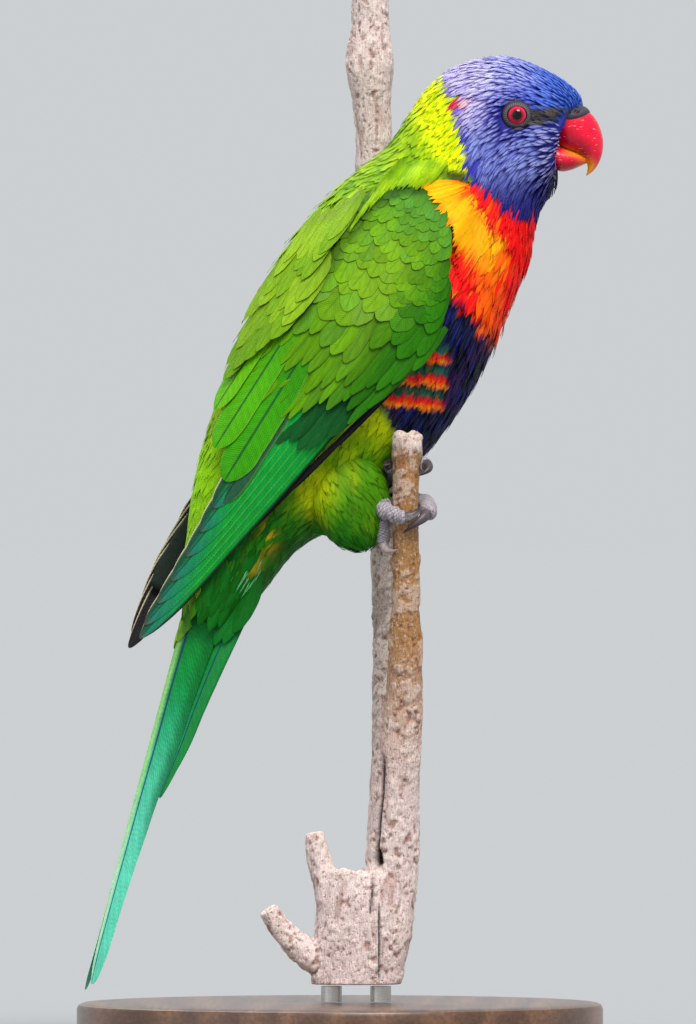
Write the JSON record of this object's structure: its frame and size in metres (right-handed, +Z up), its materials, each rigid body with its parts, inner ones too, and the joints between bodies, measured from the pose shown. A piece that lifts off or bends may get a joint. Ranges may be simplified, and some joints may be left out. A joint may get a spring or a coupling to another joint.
{
  "type": "rainbow lorikeet on a branch",
  "caption": "Life-size parrot with blue head, orange breast, green wings and long pointed tail, gripping a forked dead branch on a round display stand.",
  "frame": {"origin": "centre of the stand base's underside, where the model rests", "axes": "+X the way the bird faces, +Y the bird's left, +Z up"},
  "size_m": [0.15, 0.15, 0.302],
  "materials": {
    "head_feathers": "soft streaked plumage",
    "neck_feathers": "soft plumage",
    "body_feathers": "soft barred plumage",
    "thigh_feathers": "loose mottled plumage",
    "wing_feathers": "smooth overlapping feathers with a slight sheen",
    "tail_feathers": "smooth long feathers with a slight sheen",
    "bill": "glossy horn",
    "eye": "wet gloss",
    "foot_skin": "scaly skin",
    "claw": "satin horn",
    "bark": "weathered bare wood and bark",
    "stand_wood": "satin dark wood",
    "stand_metal": "brushed"
  },
  "bodies": {
    "root": {"bill_lower": "bill", "bill_upper": "bill", "claw_left_hind": "claw", "claw_left_inner": "claw", "claw_left_outer": "claw", "claw_right_hind": "claw", "claw_right_inner": "claw", "claw_right_outer": "claw", "eye_left": "eye", "eye_right": "eye", "foot_left": "foot_skin", "foot_right": "foot_skin", "head": "head_feathers", "neck": "neck_feathers", "perch_fork": "bark", "perch_stem_high": "bark", "perch_stem_low": "bark", "perch_stub": "bark", "primaries_left": "wing_feathers", "primaries_right": "wing_feathers", "stand_base": "stand_wood", "stand_rod_a": "stand_metal", "stand_rod_b": "stand_metal", "tail": "tail_feathers", "thigh_left": "thigh_feathers", "thigh_right": "thigh_feathers", "trunk": "body_feathers", "wing_left": "wing_feathers", "wing_right": "wing_feathers"}
  },
  "joints": []
}
